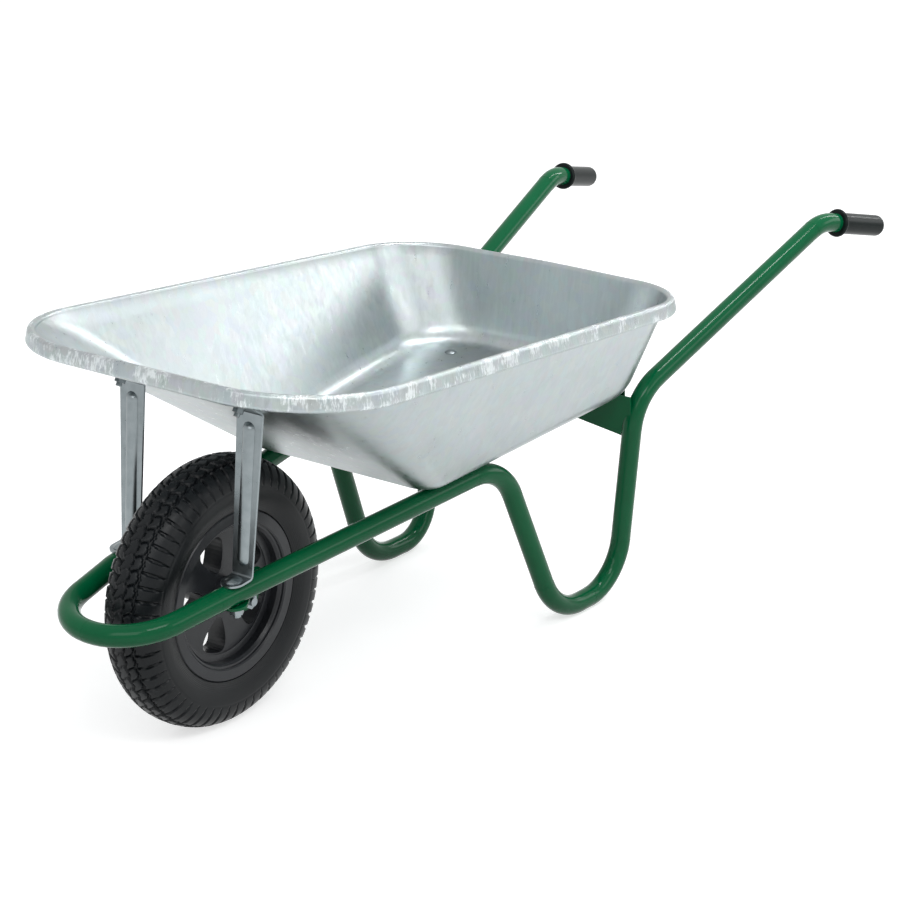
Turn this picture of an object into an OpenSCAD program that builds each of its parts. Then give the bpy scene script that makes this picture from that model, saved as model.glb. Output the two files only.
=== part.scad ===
// Builder's wheelbarrow: one continuous bent tube carries a pressed, rolled-edge steel pan, two
// pressed struts brace the pan's front wall, and a pneumatic wheel turns between two welded
// brackets. X runs across the barrow, -Y is the wheel end, +Y the handles, Z is up and the
// floor is z = 0. The operator's left is +X.

/* [Frame tube] */
// Outside diameter of the frame tube
tube_d = 30; // [28:0.5:32]
// Wall of the frame tube
tube_wall = 2; // [1.5:0.25:3]
// Height of the handles at the bend before the grips
handle_z = 507; // [480:1:530]
// Half of the width between the handles at that bend
handle_x = 260; // [250:1:270]
// Distance from the origin back to the handle bend
handle_y = 627; // [600:1:650]
// Radius of the bend before each grip
handle_bend_r = 80; // [60:1:95]
// Height of the corner where the handle run turns down into the rear leg
knee_z = 323; // [310:1:335]
// Distance from the origin back to that corner
knee_y = 176; // [166:1:186]
// Half of the width between the rear legs at that corner
knee_x = 212; // [205:1:220]
// Radius of the bend at the top of the rear leg
knee_bend_r = 76; // [66:1:86]
// Half of the width between the feet
foot_x = 180; // [172:1:188]
// Rear corner of the foot, back from the origin
foot_rear_y = 184; // [176:1:192]
// Front corner of the foot, back from the origin
foot_front_y = 21; // [13:1:29]
// Radius of the rear bend of the foot
foot_rear_bend_r = 73; // [65:1:80]
// Radius of the front bend of the foot
foot_front_bend_r = 94; // [85:1:100]
// Height of the corner where the front leg turns into the rail
rail_rear_z = 283.7; // [278:0.1:290]
// Position of that corner along the barrow
rail_rear_y = -93.5; // [-102:0.5:-86]
// Half of the width between the rails at that corner
rail_rear_x = 162; // [157:1:167]
// Radius of the bend at the top of the front leg
rail_bend_r = 79; // [70:1:88]
// Height of the rail where it turns in towards the nose
rail_front_z = 230; // [225:0.5:235]
// Position of that turn along the barrow
rail_front_y = -619.5; // [-625:0.5:-614]
// Half of the width between the rails at that turn
rail_front_x = 97.3; // [94:0.1:101]
// Height of the nose of the frame
nose_z = 208.7; // [204:0.1:213]
// Position of the tube's centreline across the nose
nose_y = -761; // [-771:1:-751]
// Half of the width of the nose's sharp corners
nose_x = 74; // [73:0.5:80]
// Radius of each nose bend
nose_bend_r = 85; // [75:1:85]

/* [Grips] */
// Distance the grips end behind the handle bend
grip_reach = 147; // [130:1:165]
// Drop from the handle bend to the grip's end
grip_drop = 32.5; // [20:0.5:45]
// Outward run from the handle bend to the grip's end
grip_splay = 24.4; // [15:0.1:32]
// Length of each grip, collar included
grip_l = 113.5; // [95:0.5:118]
// Wall of the grip's sleeve
grip_wall = 2; // [1.5:0.25:4]
// Diameter of the collar that stops the hand
grip_collar_d = 45; // [40:1:52]
// Thickness of the collar
grip_collar_t = 7; // [5:0.5:10]
// Thickness of the grip's closed end
grip_end_t = 8; // [5:0.5:12]

/* [Pan] */
// Thickness of the pan's sheet
pan_t = 1.5; // [1.2:0.1:2]
// Half width of the rim at its front corners
rim_front_x = 294.2; // [285:0.1:300]
// Half width of the rim at its rear corners
rim_rear_x = 272.6; // [265:0.1:280]
// Front edge of the rim
rim_front_y = -650.6; // [-657:0.1:-642]
// Rear edge of the rim
rim_rear_y = 251.3; // [245:0.1:256]
// Height of the rim's top at the front edge
rim_front_z = 538.7; // [530:0.1:550]
// Height of the rim's top at the rear edge
rim_rear_z = 478; // [470:1:486]
// Corner radius of the rim at the front
rim_front_r = 156; // [135:1:165]
// Corner radius of the rim at the rear
rim_rear_r = 120; // [105:1:135]
// How far the rear edge bows out at its middle
rim_bow = 6; // [0:0.5:10]
// Width of the rolled bead round the rim
bead_w = 12.2; // [11:0.1:14]
// Height of the rolled bead
bead_h = 23.4; // [20:0.1:27]
// How far the bead's lower edge stands out beyond its top
bead_flare = 2.4; // [0:0.2:4]
// Front edge of the floor, before its bend
floor_front_y = -256; // [-266:1:-246]
// Rear edge of the floor, before its bend
floor_rear_y = 232.5; // [226:0.5:240]
// Half width of the floor at its front edge
floor_front_x = 166; // [160:1:172]
// Half width of the floor at its rear edge
floor_rear_x = 217; // [210:1:222]
// Corner radius of the floor at the front
floor_front_r = 33; // [31:1:45]
// Corner radius of the floor at the rear
floor_rear_r = 105; // [90:1:120]
// Distance from the floor's edge at which the bend into the walls starts
floor_bend = 28; // [20:1:30]

/* [Struts] */
// Thickness of the strut's strip
strut_t = 3; // [2.5:0.25:4]
// Width of the strut at its foot
strut_foot_w = 34; // [30:1:38]
// Width of the strut at its top
strut_top_w = 44; // [40:1:48]
// Lean of the strut back towards the handles, in degrees from upright
strut_lean = 5; // [3:0.5:7]
// Outward run of the strut's top for its length, in degrees
strut_splay = 1; // [0:0.25:2]
// Inner radius of the strut's bends
strut_bend_r = 4; // [3:0.5:6]
// Width of the stiffening bead pressed into the strut
strut_bead_w = 20; // [16:1:24]
// Height of that bead
strut_bead_h = 6; // [4:0.5:8]
// Length of the tab that lies on the pan's front wall
strut_tab_l = 42; // [38:1:46]
// Distance from the rail's turn back to the bolt of the strut's foot
rail_bolt_back = 25; // [22:0.5:30]
// Distance from the rail bolt back to the start of the strut's lower bend
strut_set_back = 13.5; // [12.5:0.5:16]

/* [Wheel brackets] */
// Clear width between the two wheel brackets
bracket_gap = 100; // [96:1:106]
// Thickness of the bracket's plate
bracket_t = 4; // [3:0.5:5]
// Width of the bracket's plate at the axle
bracket_w = 54; // [48:1:60]
// Plate below the axle's centre
bracket_below = 17; // [15:0.5:20]

/* [Rear cross member] */
// Thickness of the cross member's sheet
cross_t = 2.5; // [2:0.25:3]
// Front-to-back width of the cross member
cross_w = 28; // [26:1:32]
// Height of its front web at the middle
cross_mid_h = 53; // [47:1:58]
// Height of its front web at the legs
cross_end_h = 68; // [62:1:72]
// Front face of the cross member under the pan's floor
cross_y = 162; // [158:1:165]
// Half of the length over which its lower edge is level
cross_flat = 112; // [90:1:130]
// Half of the length of its top and rear web, which stop short of the legs
cross_top_x = 184; // [174:1:188]

/* [Wheel] */
// Outside diameter of the tyre
tyre_d = 378.4; // [370:0.1:390]
// Section width of the tyre
tyre_w = 88; // [84:1:92]
// Height of the tyre's crown above its widest point
tyre_crown_h = 45; // [40:1:48]
// Thickness of the tyre at the crown
tyre_crown_t = 10; // [8:0.5:12]
// Thickness of the tyre's side walls
tyre_side_t = 5; // [4:0.5:7]
// Axle position along the barrow
axle_y = -524.4; // [-530:0.1:-518]
// Diameter of the tyre's seat on the rim
rim_seat_d = 203.2; // [203:0.1:204]
// Outside diameter of the wheel's flanges
flange_d = 238; // [234:0.5:242]
// Overall width of the wheel over its flanges
wheel_w = 76; // [74:0.5:78]
// Wall of the wheel's moulded barrel
barrel_t = 6; // [5:0.25:7]
// Number of spokes
spoke_n = 5; // [4:1:6]
// Turn of the windows between the spokes round the axle, in degrees
window_turn = 54; // [0:1:72]
// Half width of a spoke at the wheel's centre, from which it widens
spoke_root = 5; // [4:0.5:7]
// Growth of a spoke's half width for each millimetre of radius
spoke_flare = 0.2; // [0.17:0.01:0.22]
// Thickness of the spoke's face and of its side ribs
spoke_t = 4; // [3:0.25:5]
// Depth of the spokes, from face to the back of their ribs
spoke_depth = 32; // [26:1:36]
// Outside diameter of the hub
hub_d = 46; // [42:1:52]
// Length of the hub
hub_l = 84; // [80:1:86]
// Diameter of the valve's stem
valve_d = 8; // [7:0.25:9]
// Length of the valve's stem that shows inside the barrel
valve_l = 24; // [18:1:30]

/* [Axle] */
// Thread size of the axle bolt
axle_d = 12; // [10:0.5:13]
// Outside diameter of the sleeve on the axle bolt
sleeve_d = 20; // [18:0.5:22]
// Wall of the bushes in the hub
bush_t = 3; // [2.5:0.25:4]
// Length of each bush inside the hub
bush_l = 28; // [20:1:34]
// Thickness of each bush's flange
bush_flange_t = 2; // [1.5:0.25:3]
// Running clearance of a bush on the sleeve, on the radius
run_gap = 0.06; // [0.02:0.01:0.09]
// Side clearance of the hub between its spacers, each side
side_gap = 0.3; // [0.2:0.05:0.5]

/* [Fasteners] */
// Thread size of the coach bolts that hold the struts to the rails
rail_bolt_d = 10; // [8:0.5:10]
// Thread size of the coach bolts through the pan
pan_bolt_d = 8; // [6:0.5:8]
// Half of the distance between the two bolts in the pan's floor
floor_bolt_x = 134; // [125:1:145]
// Length of thread that stands out of each nut
thread_end = 5; // [3:0.5:8]
// Clearance of a bolt in its hole, on the radius
bolt_gap = 0.4; // [0.2:0.05:0.6]

/* [Fits] */
// Gap left where a curved or welded face meets its neighbour
seat_gap = 0.1; // [0.05:0.05:0.2]

/* [Hidden] */
$fn = 64;

green = "#0b6b3c";
zinc = "#b9c0c4";
steel = "#a9adb0";
black = "#1b1d1e";

// ---- vectors -------------------------------------------------------------------------------
function unit(v) = v / norm(v);
function lerp(a, b, t) = a + (b - a) * t;
function side_of(v) = unit(abs(v.z) > 0.9 ? cross([1, 0, 0], v) : cross([0, 0, 1], v));

// Places children with their x, y and z along the unit vectors u, v and w, at point p
module basis(u, v, w, p) {
    multmatrix([[u.x, v.x, w.x, p.x], [u.y, v.y, w.y, p.y], [u.z, v.z, w.z, p.z], [0, 0, 0, 1]])
        children();
}

// Places children with their z along direction d, at point p
module along(d, p) {
    w = unit(d);
    u = side_of(w);
    basis(u, cross(w, u), w, p) children();
}

// ---- the frame's path ----------------------------------------------------------------------
tube_r = tube_d / 2;
// A bend's section swells this much in the bending
swell = 0.2;
handle = [handle_x, handle_y, handle_z];
grip_end = handle + [grip_splay, grip_reach, -grip_drop];
grip_dir = unit(grip_end - handle);
knee = [knee_x, knee_y, knee_z];
foot_rear = [foot_x, foot_rear_y, tube_r + swell];
foot_front = [foot_x, foot_front_y, tube_r + swell];
rail_rear = [rail_rear_x, rail_rear_y, rail_rear_z];
rail_front = [rail_front_x, rail_front_y, rail_front_z];
nose = [nose_x, nose_y, nose_z];
tube_end = grip_end - grip_dir * grip_end_t;

// Sharp corners of the path from the left grip to the nose, with the radius of each bend
corners = [tube_end, handle, knee, foot_rear, foot_front, rail_rear, rail_front, nose,
           [-nose_x, nose_y, nose_z]];
radii = [0, handle_bend_r, knee_bend_r, foot_rear_bend_r, foot_front_bend_r, rail_bend_r,
         200, nose_bend_r];

function dir_in(i) = unit(corners[i] - corners[i - 1]);
function dir_out(i) = unit(corners[i + 1] - corners[i]);
function turn(i) = acos(dir_in(i) * dir_out(i));
function tangent(i) = i == 0 ? 0 : radii[i] * tan(turn(i) / 2);
function leave(i) = i == 0 ? corners[0] + dir_out(0) * lap : corners[i] + dir_out(i) * tangent(i);
function enter(i) = corners[i] - dir_in(i) * tangent(i);

module tube_section(r_out, r_in) {
    difference() {
        circle(r = r_out);
        if (r_in > 0) circle(r = r_in);
    }
}

// Straight stretches run this far into the bends
lap = 1;

module straight(p, q, r_out, r_in) {
    d = unit(q - p);
    along(d, p - lap * d) linear_extrude(norm(q - p) + 2 * lap) tube_section(r_out, r_in);
}

// The bend at corner i, as an exact part of a ring
module bend(i, r_out, r_in) {
    a = dir_in(i);
    inward = unit(dir_out(i) - a * (a * dir_out(i)));
    basis(-inward, a, cross(a, inward), enter(i) + inward * radii[i])
        rotate_extrude(angle = turn(i)) translate([radii[i], 0])
            tube_section(r_out + swell, max(r_in - swell, 0));
}

module half_frame(r_out, r_in) {
    for (i = [0 : 6]) straight(leave(i), enter(i + 1), r_out, r_in);
    for (i = [1 : 7]) bend(i, r_out, r_in);
}

module both_sides() {
    children();
    mirror([1, 0, 0]) children();
}

// ---- the rail's plane ----------------------------------------------------------------------
// Slope of the rails, which the pan's floor and the bracket's flange follow
rail_rise = (rail_rear_z - rail_front_z) / (rail_rear_y - rail_front_y);
rail_run = (rail_rear_x - rail_front_x) / (rail_rear_y - rail_front_y);
slope = atan(rail_rise);
// Vertical distance from the rail's axis to its top and its underside
rail_rise_r = (tube_r + seat_gap) / cos(slope);
function rail_x(y) = rail_front_x + rail_run * (y - rail_front_y);
function rail_z(y) = rail_front_z + rail_rise * (y - rail_front_y);
function floor_under_z(y) = rail_z(y) + rail_rise_r;
function floor_top_z(y) = floor_under_z(y) + pan_t / cos(slope);

// Places children on a plane parallel to the rails, with their z square to it
module on_slope(x, y, z) {
    translate([x, y, z]) rotate([slope, 0, 0]) children();
}

// ---- fasteners -----------------------------------------------------------------------------
function hex_w(d) = d * 1.68;
function nut_h(d) = d * 0.82;
function washer_t(d) = d * 0.2;
function head_d(d) = d * 2.4;
function head_h(d) = d * 0.5;

// Coach bolt with its domed head standing on z = 0, its square neck and its shank of length l
// below
module coach_bolt(d, l, neck) {
    r = head_d(d) / 2;
    edge = head_h(d) * 0.15;
    dome_r = (r * r + pow(head_h(d) - edge, 2)) / (2 * (head_h(d) - edge));
    start = acos(r / dome_r);
    rotate_extrude() polygon(concat([[0, 0], [r, 0]],
        [for (i = [0 : 6]) let (a = lerp(start, 90, i / 6))
         [dome_r * cos(a), head_h(d) - dome_r + dome_r * sin(a)]]));
    translate([0, 0, -l]) cylinder(h = l, d = d);
    translate([0, 0, -neck / 2]) cube([neck_w(d), neck_w(d), neck], center = true);
}

function neck_w(d) = d * 1.06;

// Square hole for the neck, from a little below z = 0 up through thickness h
module square_hole(d, h) {
    w = neck_w(d) + 2 * bolt_gap;
    translate([-w / 2, -w / 2, -1]) cube([w, w, h + 1]);
}

module washer(d) {
    difference() {
        cylinder(h = washer_t(d), r = d * 1.05);
        translate([0, 0, -1]) cylinder(h = washer_t(d) + 2, r = d / 2 + bolt_gap);
    }
}

// Hexagon nut with chamfered corners, standing on z = 0
module nut(d) {
    across = hex_w(d) / cos(30);
    difference() {
        intersection() {
            cylinder(h = nut_h(d), d = across, $fn = 6);
            translate([0, 0, -across / 2 + nut_h(d) + across * 0.06])
                cylinder(h = across / 2, r1 = across, r2 = across / 2 * 0.88);
        }
        translate([0, 0, -1]) cylinder(h = nut_h(d) + 2, r = d / 2 + seat_gap);
    }
}

// ---- frame ---------------------------------------------------------------------------------
// The rail bolt's hole through the frame tube, square to the rail's slope
rail_bolt_y = rail_front_y + rail_bolt_back;

module at_rail_bolt(lift) {
    on_slope(rail_x(rail_bolt_y), rail_bolt_y, rail_z(rail_bolt_y)) translate([0, 0, lift])
        children();
}

module frame_tube() {
    color(green) difference() {
        union() {
            both_sides() half_frame(tube_r, tube_r - tube_wall);
            straight(leave(7), [-leave(7).x, nose_y, nose_z], tube_r, tube_r - tube_wall);
        }
        both_sides() at_rail_bolt(-tube_d)
            cylinder(h = 2 * tube_d, r = rail_bolt_d / 2 + bolt_gap);
    }
}

// Where a line from point p touches a circle
function touch(c, r, p, side) =
    let (d = p - c, a = atan2(d.y, d.x) + side * acos(r / norm(d)))
    c + r * [cos(a), sin(a)];

// Bracket: a flange under the rail, held by the strut's bolt and welded there, and a web for
// the axle that hangs from the flange's inner edge
module axle_bracket() {
    web_x = bracket_gap / 2;
    axle_z = tyre_d / 2;
    flange_top = -tube_r - seat_gap;
    front = axle_y - bracket_w / 2;
    rear = axle_y + bracket_w / 2;
    end_r = rail_bolt_d * 1.6;
    joint_x = web_x + bracket_t / 2;
    outer_x = web_x + 2 * bracket_t;
    bolt = [rail_x(rail_bolt_y), 0];
    color(green) difference() {
        union() {
            on_slope(0, rail_bolt_y, rail_z(rail_bolt_y)) translate([0, 0, flange_top - bracket_t])
                linear_extrude(bracket_t) {
                    polygon([[joint_x, front - rail_bolt_y],
                             touch(bolt, end_r - 0.3, [joint_x, front - rail_bolt_y], 1),
                             touch(bolt, end_r - 0.3, [outer_x, rear - rail_bolt_y], -1),
                             [outer_x, rear - rail_bolt_y], [joint_x, rear - rail_bolt_y]]);
                    translate(bolt) circle(r = end_r);
                }
            bracket_web(web_x, axle_z);
        }
        translate([web_x - 1, axle_y, axle_z]) rotate([0, 90, 0])
            cylinder(h = bracket_t + 2, r = axle_d / 2 + bolt_gap);
        at_rail_bolt(-2 * tube_d) cylinder(h = 2 * tube_d, r = rail_bolt_d / 2 + bolt_gap);
    }
}

// The web's outline in the barrow's length and height, its lower corners round and its top a
// little under the flange's upper face
module bracket_web(web_x, axle_z) {
    corner_r = bracket_below * 0.9;
    half_w = bracket_w / 2;
    under = rail_rise_r + bracket_t / 8;
    rotate([90, 0, 90]) translate([axle_y, axle_z, web_x]) linear_extrude(bracket_t) {
        polygon([[-half_w, corner_r - bracket_below], [half_w, corner_r - bracket_below],
                 [half_w, rail_z(axle_y + half_w) - under - axle_z],
                 [-half_w, rail_z(axle_y - half_w) - under - axle_z]]);
        translate([corner_r - half_w, -bracket_below])
            square([bracket_w - 2 * corner_r, corner_r + 1]);
        for (side = [-1, 1])
            translate([side * (half_w - corner_r), corner_r - bracket_below]) circle(r = corner_r);
    }
}

// Cross member: an inverted channel between the rear legs, deeper towards the legs
module rear_cross_member() {
    half = knee_x + 2;
    color(green) difference() {
        on_slope(0, cross_y, floor_under_z(cross_y)) difference() {
            translate([-half, 0, -cross_end_h - 10]) cube([2 * half, cross_w, cross_end_h + 10]);
            translate([-half - 1, cross_t, -cross_end_h - 11])
                cube([2 * half + 2, cross_w - 2 * cross_t, cross_end_h + 11 - cross_t]);
            translate([0, cross_w + 1, 0]) rotate([90, 0, 0]) linear_extrude(cross_w + 2)
                polygon([[-half - 1, -cross_end_h - 20], [-half - 1, -cross_end_h],
                         [-cross_flat, -cross_mid_h], [cross_flat, -cross_mid_h],
                         [half + 1, -cross_end_h], [half + 1, -cross_end_h - 20]]);
            for (side = [-1, 1]) translate([side * floor_bolt_x, cross_w / 2, -2 * cross_t])
                cylinder(h = 3 * cross_t, r = pan_bolt_d / 2 + bolt_gap);
        }
        both_sides() {
            straight(leave(2), enter(3), tube_r + seat_gap, 0);
            bend(2, tube_r + seat_gap, 0);
            straight(leave(1), enter(2), tube_r + seat_gap, 0);
        }
        // top and rear web outside the pan's floor
        for (side = [-1, 1]) on_slope(side * (cross_top_x + 50), cross_y, floor_under_z(cross_y))
            translate([-50, cross_t, -cross_end_h - 15]) cube([100, cross_w, cross_end_h + 20]);
        // what would stand outside the legs
        for (side = [-1, 1]) translate([side * (knee_x + 50) - 50, cross_y - 50, 0])
            cube([100, cross_w + 100, handle_z]);
    }
}

// ---- pan -----------------------------------------------------------------------------------
// Steps of each corner's arc, of each straight side and of half the bowed rear edge
arc_n = 9;
side_n = 3;
bow_n = 4;

// Right half of a rounded outline, from its front corner to the middle of its rear edge:
// f and r hold [edge y, half width, corner radius] of the front and of the rear
function half_outline(f, r, bow) =
    let (lean = atan((f[1] - r[1]) / (r[0] - f[0])),
         side = function (y) lerp(f[1], r[1], (y - f[0]) / (r[0] - f[0])),
         fc = [side(f[0] + f[2]) - f[2] / cos(lean), f[0] + f[2]],
         rc = [side(r[0] - r[2]) - r[2] / cos(lean), r[0] - r[2]],
         front = [for (i = [0 : arc_n]) let (a = lerp(-90, lean, i / arc_n))
                  fc + f[2] * [cos(a), sin(a)]],
         rear = [for (i = [0 : arc_n]) let (a = lerp(lean, 90, i / arc_n))
                 rc + r[2] * [cos(a), sin(a)]],
         sides = [for (i = [1 : side_n - 1]) lerp(front[arc_n], rear[0], i / side_n)],
         edge = [for (i = [1 : bow_n]) let (u = 1 - i / bow_n)
                 [rc.x * u, r[0] + bow * pow(1 - u * u, 2)]])
    concat(front, sides, rear, edge);

// The whole outline: the right half and its mirror image
function outline(f, r, bow) =
    let (half = half_outline(f, r, bow), n = len(half))
    concat(half, [for (i = [n - 2 : -1 : 0]) [-half[i].x, half[i].y]]);

rim_slope = (rim_rear_z - rim_front_z) / (rim_rear_y - rim_front_y);
function rim_z(y) = rim_front_z + rim_slope * (y - rim_front_y);

// Outline of the rim, u outside and v above the top of the bead's centreline
function rim_ring(u, v) =
    [for (p = outline([rim_front_y - u, rim_front_x + u, rim_front_r + u],
                      [rim_rear_y + u, rim_rear_x + u, rim_rear_r + u], rim_bow))
     [p.x, p.y, rim_z(p.y) + v]];

// Outline of the floor's upper face, u inside its sharp edge
function floor_ring(u) =
    [for (p = outline([floor_front_y + u, floor_front_x - u, floor_front_r - u],
                      [floor_rear_y - u, floor_rear_x - u, floor_rear_r - u], 0))
     [p.x, p.y, floor_top_z(p.y)]];

// The sheet's upper face as rings: floor, bend, wall, then the bead rolled over outwards
bead_r = bead_w / 2;
bend_n = 5;
roll_n = 5;
wall_top = rim_ring(-bead_r, -bead_r);
wall_foot = floor_ring(0);
floor_edge = floor_ring(floor_bend);
ring_n = len(wall_top);
function bend_point(j, t) =
    let (up = wall_foot[j] + unit(wall_top[j] - wall_foot[j]) * floor_bend)
    lerp(lerp(floor_edge[j], wall_foot[j], t), lerp(wall_foot[j], up, t), t);
bend_rings = [for (i = [0 : bend_n]) [for (j = [0 : ring_n - 1]) bend_point(j, i / bend_n)]];
wall_mid = [for (j = [0 : ring_n - 1]) lerp(bend_rings[bend_n][j], wall_top[j], 0.5)];
over_rings = [for (i = [0 : 2 * roll_n]) let (a = 180 - 90 * i / roll_n)
              rim_ring(bead_r * cos(a), bead_r * (sin(a) - 1))];
under_rings = [for (i = [0 : 2 * roll_n - 1]) let (a = -90 * i / roll_n)
               rim_ring(bead_flare + bead_r * cos(a), bead_r * (1 + sin(a)) - bead_h)];
sheet = concat(bend_rings, [wall_mid], over_rings, under_rings);
row_n = len(sheet);

// The same sheet's lower face, one thickness away along the sheet's own normals
function sheet_normal(k, j) =
    k == 0 ? [0, sin(slope), -cos(slope)] :
    let (up = sheet[min(k + 1, row_n - 1)][j] - sheet[k - 1][j],
         round = sheet[k][(j + 1) % ring_n] - sheet[k][(j + ring_n - 1) % ring_n])
    unit(cross(round, up));
lower = [for (k = [0 : row_n - 1]) [for (j = [0 : ring_n - 1])
         sheet[k][j] + sheet_normal(k, j) * pan_t]];

// Two triangles for each cell between rows k and k + 1 of a face whose points start at first
function cells(first, flip) =
    [for (k = [0 : row_n - 2]) for (j = [0 : ring_n - 1])
     let (a = first + k * ring_n + j, b = first + k * ring_n + (j + 1) % ring_n,
          c = b + ring_n, d = a + ring_n)
     each flip ? [[a, c, b], [a, d, c]] : [[a, b, c], [a, c, d]]];

module sheet_shell() {
    below = row_n * ring_n;
    last = (row_n - 1) * ring_n;
    mid_y = (floor_front_y + floor_rear_y) / 2;
    middle = [0, mid_y, floor_top_z(mid_y)];
    points = concat([for (ring = sheet) each ring], [for (ring = lower) each ring],
                    [middle, middle + sheet_normal(0, 0) * pan_t]);
    hub = 2 * below;
    hem = [for (j = [0 : ring_n - 1])
           let (a = last + j, b = last + (j + 1) % ring_n)
           each [[a, b, b + below], [a, b + below, a + below]]];
    floor = [for (j = [0 : ring_n - 1]) let (next = (j + 1) % ring_n)
             each [[hub, next, j], [hub + 1, below + j, below + next]]];
    polyhedron(points, concat(cells(0, false), cells(below, true), hem, floor),
               convexity = 6);
}

// Direction up the pan's front wall, its outward normal and a point on its outer face, all in
// the plane [y, z]
wall_dir = unit([rim_front_y + bead_r - floor_front_y,
                 rim_z(rim_front_y + bead_r) - bead_r - floor_top_z(floor_front_y)]);
wall_out = [-wall_dir.y, wall_dir.x];
wall_foot_out = [floor_front_y, floor_top_z(floor_front_y)] + wall_out * pan_t;

// The bolt at a strut's top, its z into the pan, from the face of the strut's tab
module at_strut_bolt() {
    p = strut_wall + wall_dir * (strut_tab_l - strut_top_w / 2);
    translate([strut_top_x, p.x, p.y]) rotate([strut_wall_angle - 180, 0, 0]) children();
}

// The bolt in the pan's floor, its z into the pan, from the floor's lower face
module at_floor_bolt() {
    on_slope(floor_bolt_x, cross_y, floor_under_z(cross_y)) translate([0, cross_w / 2, 0])
        children();
}

module pan() {
    deep = 3 * pan_t;
    color(zinc) difference() {
        sheet_shell();
        both_sides() {
            at_floor_bolt() square_hole(pan_bolt_d, deep);
            at_strut_bolt() square_hole(pan_bolt_d, deep);
        }
    }
}

// ---- struts --------------------------------------------------------------------------------
// The strut's path in the plane [y, z], along the face that lies on the rail and on the wall
function ray(a) = [cos(a), sin(a)];
function left(a) = [-sin(a), cos(a)];
strut_angle = 90 - strut_lean;
strut_wall_angle = atan2(wall_dir.y, wall_dir.x);
strut_r = strut_bend_r + strut_t;
strut_foot = [rail_bolt_y, rail_z(rail_bolt_y)] + left(slope) * (tube_r + seat_gap);
bend_1 = strut_foot + ray(slope) * strut_set_back + left(slope) * strut_r;
strut_l = (seat_gap + strut_r - (bend_1 - wall_foot_out) * wall_out)
    / (ray(strut_angle) * wall_out);
leg_foot = bend_1 - left(strut_angle) * strut_r;
leg_top = leg_foot + ray(strut_angle) * strut_l;
bend_2 = leg_top + left(strut_angle) * strut_r;
strut_wall = bend_2 - left(strut_wall_angle) * strut_r;
strut_foot_x = rail_x(rail_bolt_y);
strut_top_x = strut_foot_x + strut_l * tan(strut_splay);

// Places children with x across the barrow, y along direction a of the plane [y, z] and z
// square to both
module in_side(x, p, a) {
    translate([x, p.x, p.y]) rotate([a, 0, 0]) children();
}

// The strip's flats run this far into its bends, which are thicker by this on each face
strip_lap = 0.3;
strip_swell = 0.02;

// A bend of the strip about point c, from direction a through an angle
module strip_bend(c, a, angle, w, x) {
    start = [0, ray(a - 90).x, ray(a - 90).y];
    basis(start, [0, ray(a).x, ray(a).y], [1, 0, 0], [x - w / 2 - strip_swell, c.x, c.y])
        rotate_extrude(angle = angle) translate([strut_bend_r - strip_swell, 0])
            square([strut_t + 2 * strip_swell, w + 2 * strip_swell]);
}

module strut() {
    end_r = strut_foot_w / 2;
    tab_straight = strut_tab_l - strut_top_w / 2;
    color(steel) difference() {
        union() {
            // foot on the rail, round at its front
            in_side(strut_foot_x, strut_foot, slope) linear_extrude(strut_t) {
                circle(r = end_r);
                translate([-end_r, 0]) square([strut_foot_w, strut_set_back + strip_lap]);
            }
            strip_bend(bend_1, slope, strut_angle - slope, strut_foot_w, strut_foot_x);
            in_side(strut_foot_x, leg_foot, strut_angle) strut_leg();
            strip_bend(bend_2, strut_angle, strut_wall_angle - strut_angle, strut_top_w,
                       strut_top_x);
            // tab on the pan's front wall
            in_side(strut_top_x, strut_wall, strut_wall_angle) linear_extrude(strut_t) {
                translate([-strut_top_w / 2, -strip_lap])
                    square([strut_top_w, tab_straight + strip_lap]);
                translate([0, tab_straight]) circle(r = strut_top_w / 2);
            }
        }
        in_side(strut_foot_x, leg_foot, strut_angle) strut_groove(0);
        at_rail_bolt(tube_r) square_hole(rail_bolt_d, strut_t * 2);
        at_strut_bolt() cylinder(h = 3 * strut_t, r = pan_bolt_d / 2 + bolt_gap, center = true);
    }
}

// The strut's leg: a tapered strip, x across it, y up it and z to its front
module strut_leg() {
    run = strut_top_x - strut_foot_x;
    linear_extrude(strut_t)
        polygon([[-strut_foot_w / 2, -strip_lap], [strut_foot_w / 2, -strip_lap],
                 [run + strut_top_w / 2, strut_l + strip_lap],
                 [run - strut_top_w / 2, strut_l + strip_lap]]);
    strut_groove(strut_t);
}

// The round bead pressed out of the leg, grown by the sheet's thickness for its outer face
module strut_groove(grow) {
    r = (pow(strut_bead_w / 2, 2) + pow(strut_bead_h, 2)) / (2 * strut_bead_h) + grow - strut_t;
    bead_l = strut_l - 2 * strut_bead_w;
    intersection() {
        rotate([0, 0, -strut_splay]) translate([0, strut_bead_w, strut_bead_h - r + grow])
            rotate([-90, 0, 0]) rotate_extrude()
                polygon(concat([[0, -r]], arc([0, 0], r, -75, 0), arc([0, bead_l], r, 0, 75),
                               [[0, bead_l + r]]));
        translate([-strut_top_w, -strut_bead_w, grow > 0 ? strut_t / 2 : -strut_t])
            cube([2 * strut_top_w, strut_l + 2 * strut_bead_w, 2 * strut_r + strut_bead_h]);
    }
}

// ---- grips ---------------------------------------------------------------------------------
function arc(c, r, from, to) =
    [for (i = [0 : 6]) let (a = lerp(from, to, i / 6)) c + r * [cos(a), sin(a)]];

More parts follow.
